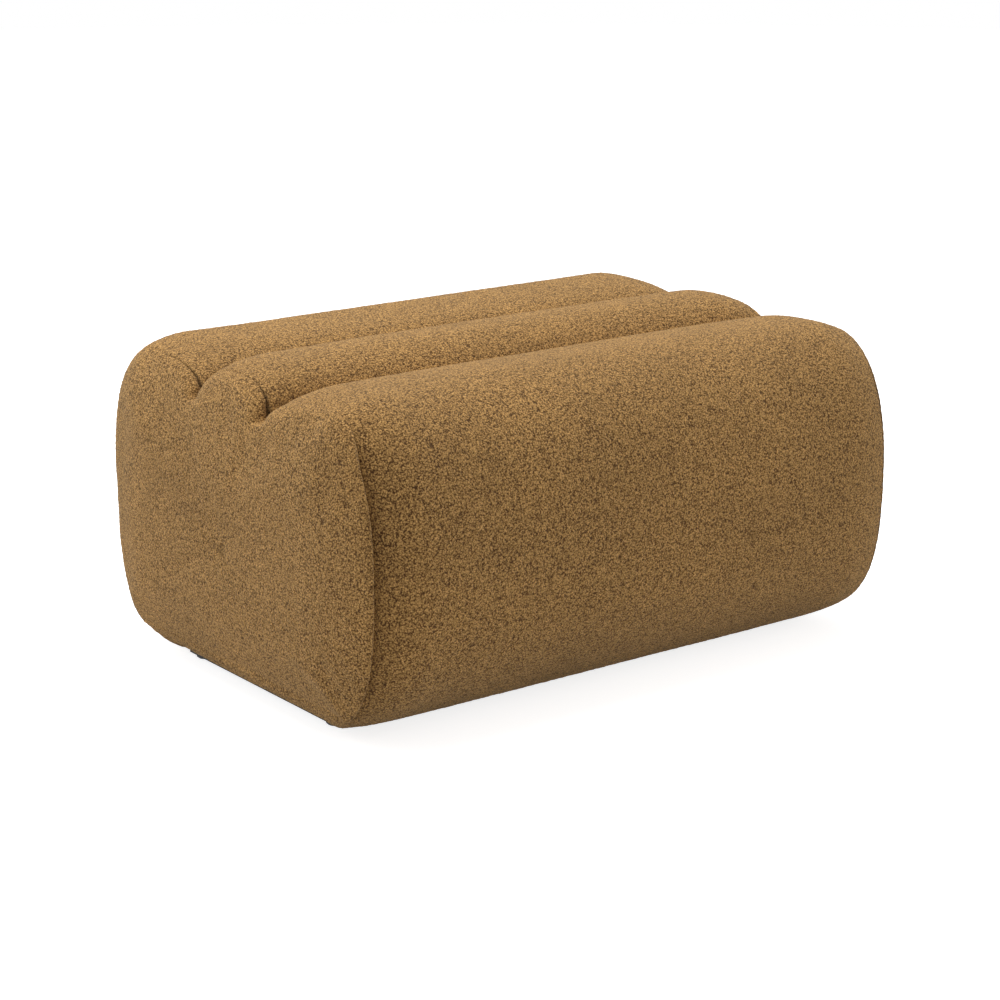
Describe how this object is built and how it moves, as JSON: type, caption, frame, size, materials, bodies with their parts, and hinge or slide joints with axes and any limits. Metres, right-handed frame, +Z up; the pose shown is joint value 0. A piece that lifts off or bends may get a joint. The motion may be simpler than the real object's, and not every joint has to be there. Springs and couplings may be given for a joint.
{
  "type": "ottoman with storage",
  "caption": "Upholstered bench ottoman of parallel padded rolls between crowned end panels, with a lid on the rear rolls over a storage box.",
  "frame": {"origin": "on the floor, under the middle of the ottoman", "axes": "X along the rolls, +Y to the hinged back, +Z up"},
  "size_m": [0.88, 0.654, 0.43],
  "materials": {
    "boucle": "mustard boucle upholstery, matt, looped pile",
    "foam": "open cell foam, matt",
    "lining": "dark woven lining, matt",
    "dust_cloth": "black non-woven cloth",
    "plywood": "birch plywood, unfinished",
    "batten_wood": "softwood, planed",
    "zinc_steel": "zinc plated",
    "screw_steel": "yellow zinc plated",
    "strut_paint": "black satin paint",
    "rod_chrome": "hard chrome",
    "glide_plastic": "black, matt",
    "bumper_rubber": "black, matt"
  },
  "bodies": {
    "box": {"base_board": "plywood", "bumpers": "bumper_rubber", "dust_cover": "dust_cloth", "fitting_screws_box": "screw_steel", "floor_liner": "lining", "frame_screws": "screw_steel", "front_belly_foam": "foam", "front_cover": "boucle", "front_left_corner_block": "batten_wood", "front_liner": "lining", "front_right_corner_block": "batten_wood", "front_roll_foam": "foam", "front_shelf": "plywood", "front_wall": "plywood", "glides": "glide_plastic", "hinge_pins": "zinc_steel", "left_box_bracket": "zinc_steel", "left_end_board": "plywood", "left_end_cover": "boucle", "left_end_facing": "boucle", "left_end_foam": "foam", "left_hinge_fixed_leaf": "zinc_steel", "left_liner": "lining", "left_shelf_cleat": "batten_wood", "middle_hinge_fixed_leaf": "zinc_steel", "plinth_front_rail": "batten_wood", "plinth_left_rail": "batten_wood", "plinth_rear_rail": "batten_wood", "plinth_right_rail": "batten_wood", "rear_belly_foam": "foam", "rear_cover": "boucle", "rear_left_corner_block": "batten_wood", "rear_liner": "lining", "rear_right_corner_block": "batten_wood", "rear_shelf": "plywood", "rear_wall": "plywood", "right_box_bracket": "zinc_steel", "right_end_board": "plywood", "right_end_cover": "boucle", "right_end_facing": "boucle", "right_end_foam": "foam", "right_hinge_fixed_leaf": "zinc_steel", "right_liner": "lining", "right_shelf_cleat": "batten_wood"},
    "lid": {"back_cover": "boucle", "back_foam": "foam", "fitting_screws_lid": "screw_steel", "left_hinge_moving_leaf": "zinc_steel", "left_lid_bracket": "zinc_steel", "lid_board": "plywood", "lid_liner": "lining", "middle_cover": "boucle", "middle_foam": "foam", "middle_hinge_moving_leaf": "zinc_steel", "right_hinge_moving_leaf": "zinc_steel", "right_lid_bracket": "zinc_steel"},
    "left_tube": {"left_strut_tube": "strut_paint"},
    "left_rod": {"left_strut_rod": "rod_chrome"},
    "right_tube": {"right_strut_tube": "strut_paint"},
    "right_rod": {"right_strut_rod": "rod_chrome"}
  },
  "joints": [
    {"name": "lid_hinge", "type": "hinge", "parent": "box", "child": "lid", "pos_m": [0, 0.3195, 0.3205], "axis": [-1, 0, 0], "range_deg": [0, 85]},
    {"name": "left_strut_swing", "type": "hinge", "parent": "box", "child": "left_tube", "pos_m": [-0.379, -0.04, 0.08], "axis": [1, 0, 0], "range_deg": [0, 3.51]},
    {"name": "left_strut_slide", "type": "slide", "parent": "left_tube", "child": "left_rod", "axis": [0, 0.7023, 0.7119], "range_m": [0, 0.18862]},
    {"name": "right_strut_swing", "type": "hinge", "parent": "box", "child": "right_tube", "pos_m": [0.379, -0.04, 0.08], "axis": [1, 0, 0], "range_deg": [0, 3.51]},
    {"name": "right_strut_slide", "type": "slide", "parent": "right_tube", "child": "right_rod", "axis": [0, 0.7023, 0.7119], "range_m": [0, 0.18862]}
  ],
  "couplings": [
    {"joint": "left_strut_swing", "follows": "lid_hinge", "ratio": 0.041108},
    {"joint": "left_strut_slide", "follows": "lid_hinge", "m_per_rad": 0.12701},
    {"joint": "right_strut_swing", "follows": "lid_hinge", "ratio": 0.041108},
    {"joint": "right_strut_slide", "follows": "lid_hinge", "m_per_rad": 0.12701}
  ]
}
